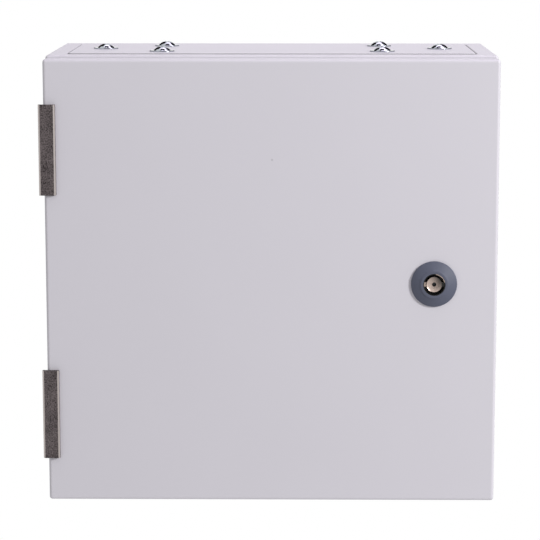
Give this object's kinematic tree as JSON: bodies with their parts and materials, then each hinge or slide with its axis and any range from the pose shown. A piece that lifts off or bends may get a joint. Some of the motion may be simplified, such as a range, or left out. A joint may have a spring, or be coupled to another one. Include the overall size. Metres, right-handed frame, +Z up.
{
  "type": "wall-mounted steel enclosure cabinet",
  "caption": "Square sheet-steel wall cabinet with a hinged sealed door, quarter-turn key lock, gland plate let into the top and a mounting plate inside for electrical equipment.",
  "frame": {"origin": "centre of the four wall holes, on the back face", "axes": "+X to the right seen from the front, +Y towards the wall, +Z up"},
  "size_m": [0.3052, 0.1542, 0.3048],
  "materials": {
    "powder_coat": "light grey powder coat, fine texture",
    "zinc_plate": "bright zinc plated steel",
    "hinge_metal": "cast hinge metal, dark grainy face with polished bevels",
    "galvanised": "galvanised sheet",
    "lock_plastic": "dark grey moulded polyamide",
    "nickel": "nickel plated die casting",
    "foam_seal": "foamed sealing compound",
    "rubber_seal": "rubber"
  },
  "bodies": {
    "cabinet": {"enclosure_shell": "powder_coat", "gland_plate": "powder_coat", "gland_gasket": "rubber_seal", "gland_screws": "zinc_plate", "gland_washers": "zinc_plate", "gland_clinch_nuts": "zinc_plate", "mounting_plate": "galvanised", "mounting_studs": "zinc_plate", "mounting_spacers": "zinc_plate", "mounting_nuts": "zinc_plate", "body_earth_stud": "zinc_plate", "body_earth_nut": "zinc_plate", "hinge_body_nuts": "zinc_plate", "upper_hinge_body_leaf": "hinge_metal", "lower_hinge_body_leaf": "hinge_metal", "upper_hinge_pin": "zinc_plate", "lower_hinge_pin": "zinc_plate"},
    "door": {"door_panel": "powder_coat", "door_gasket": "foam_seal", "hinge_door_nuts": "zinc_plate", "door_earth_stud": "zinc_plate", "door_earth_nut": "zinc_plate", "lock_housing": "lock_plastic", "lock_seal": "rubber_seal", "lock_nut": "zinc_plate", "upper_hinge_door_leaf": "hinge_metal", "lower_hinge_door_leaf": "hinge_metal"},
    "lock_spindle": {"lock_insert": "nickel", "lock_cam": "zinc_plate", "cam_washer": "zinc_plate", "cam_bolt": "zinc_plate"}
  },
  "joints": [
    {"name": "door_swing", "type": "hinge", "parent": "cabinet", "child": "door", "pos_m": [-0.1527, -0.13375, 0], "axis": [0, 0, -1], "range_deg": [0, 175]},
    {"name": "lock_turn", "type": "hinge", "parent": "door", "child": "lock_spindle", "pos_m": [0.108, -0.14, 0], "axis": [0, -1, 0], "range_deg": [0, 90]}
  ]
}
